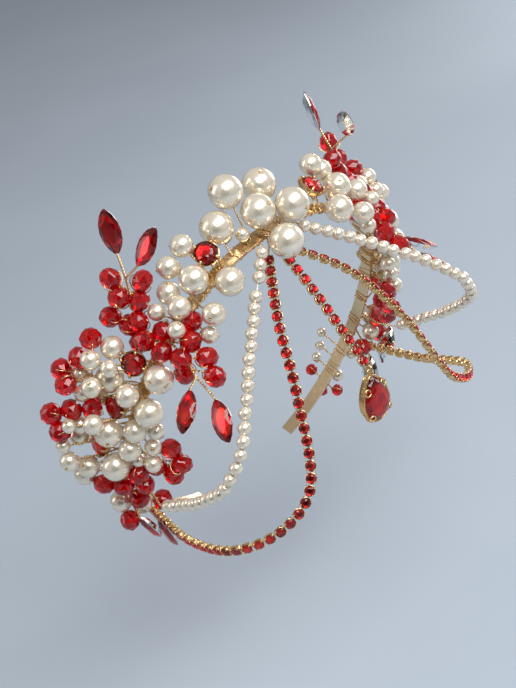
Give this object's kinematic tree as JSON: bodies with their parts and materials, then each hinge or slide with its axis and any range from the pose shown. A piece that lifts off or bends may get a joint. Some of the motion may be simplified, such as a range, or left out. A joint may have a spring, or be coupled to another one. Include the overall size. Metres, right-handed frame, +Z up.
{
  "type": "bridal headband",
  "caption": "Springy gilt headband dressed with pearls and red crystal clusters, sprigs of pointed stones, pearl strings, cup-chain swags and a swinging pear drop.",
  "frame": {"origin": "middle of the band's inner face at the crown, where it sits on the head", "axes": "+X across the head to the wearer's left, -Y towards the forehead, +Z up as worn"},
  "size_m": [0.1732, 0.0881, 0.1421],
  "materials": {
    "gilt": "polished gold plate on a springy metal strip and wires",
    "pearl": "ivory pearl lacquer on round beads",
    "red_glass": "clear deep red cut glass, set in gilt cups and claws"
  },
  "bodies": {
    "headband": {"band": "gilt", "centre_chain": "red_glass", "left_pearl_string": "pearl", "left_swag_chain": "red_glass", "right_pearl_string": "pearl", "right_swag_chain": "red_glass", "crown_pearl_1": "pearl", "crown_pearl_2": "pearl", "crown_pearl_3": "pearl", "crown_pearl_4": "pearl", "crown_pearl_5": "pearl", "crown_pearl_6": "pearl", "left_round_stone_1": "red_glass", "left_round_stone_2": "red_glass", "left_round_stone_3": "red_glass", "left_round_stone_4": "red_glass", "left_pearls_upper": "pearl", "left_pearls_middle": "pearl", "left_pearls_lower": "pearl", "left_crystals_rear_sprig": "red_glass", "left_crystals_front_sprig": "red_glass", "left_crystals_rear_edge": "red_glass", "left_crystals_lower": "red_glass", "left_navette_1": "red_glass", "left_navette_2": "red_glass", "left_navette_3": "red_glass", "left_navette_4": "red_glass", "left_navette_5": "red_glass", "left_navette_6": "red_glass", "right_round_stone_1": "red_glass", "right_round_stone_2": "red_glass", "right_round_stone_3": "red_glass", "right_round_stone_4": "red_glass", "right_pearls_upper": "pearl", "right_pearls_middle": "pearl", "right_pearls_lower": "pearl", "right_crystals_rear_sprig": "red_glass", "right_crystals_front_sprig": "red_glass", "right_crystals_rear_edge": "red_glass", "right_crystals_lower": "red_glass", "right_navette_1": "red_glass", "right_navette_2": "red_glass", "right_navette_3": "red_glass", "right_navette_4": "red_glass", "right_navette_5": "red_glass", "right_navette_6": "red_glass"},
    "drop": {"pear_drop": "red_glass"}
  },
  "joints": [
    {"name": "drop_swing", "type": "hinge", "parent": "headband", "child": "drop", "pos_m": [0, -0.0328, -0.04791], "axis": [1, 0, 0], "range_deg": [-60, 60]}
  ]
}
